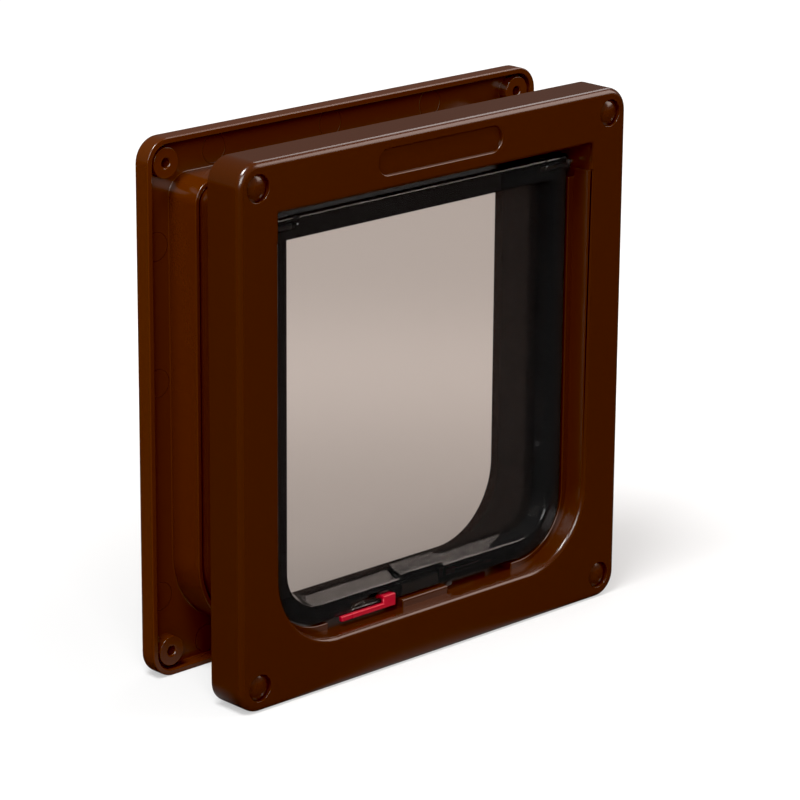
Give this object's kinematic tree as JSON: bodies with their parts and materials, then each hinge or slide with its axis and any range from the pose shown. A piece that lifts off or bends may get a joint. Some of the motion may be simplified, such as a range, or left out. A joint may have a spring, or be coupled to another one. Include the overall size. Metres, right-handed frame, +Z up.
{
  "type": "cat flap",
  "caption": "Two-way cat flap: brown plastic frames that clamp a door, telescoping liner, smoked swinging flap with magnet and sliding red lock catches.",
  "frame": {"origin": "middle of the underside, half-way between the front face and the rear face", "axes": "+Z up, +X to the right seen from the front, +Y from the front face into the door"},
  "size_m": [0.198, 0.0584, 0.208],
  "materials": {
    "brown_plastic": "satin gloss",
    "smoked_plastic": "smoked, polished",
    "red_plastic": "gloss",
    "steel": "drawn wire",
    "magnet": "ground ferrite"
  },
  "bodies": {
    "front": {"front_frame": "brown_plastic", "sill_magnet": "magnet", "hinge_pin_left": "steel", "hinge_pin_right": "steel", "screw_cap_bottom_left": "brown_plastic", "screw_cap_bottom_right": "brown_plastic", "screw_cap_top_left": "brown_plastic", "screw_cap_top_right": "brown_plastic"},
    "rear": {"rear_frame": "brown_plastic"},
    "swing": {"flap": "smoked_plastic", "flap_magnet": "magnet"},
    "front_catch": {"front_lock_catch": "red_plastic"},
    "rear_catch": {"rear_lock_catch": "red_plastic"}
  },
  "joints": [
    {"name": "liner_slide", "type": "slide", "parent": "front", "child": "rear", "axis": [0, 1, 0], "range_m": [-0.007, 0.006]},
    {"name": "flap_swing", "type": "hinge", "parent": "front", "child": "swing", "pos_m": [0, -0.01645, 0.1784], "axis": [1, 0, 0], "range_deg": [-80, 80]},
    {"name": "front_catch_slide", "type": "slide", "parent": "swing", "child": "front_catch", "axis": [-1, 0, 0], "range_m": [0, 0.0085]},
    {"name": "rear_catch_slide", "type": "slide", "parent": "swing", "child": "rear_catch", "axis": [1, 0, 0], "range_m": [0, 0.0085]}
  ]
}
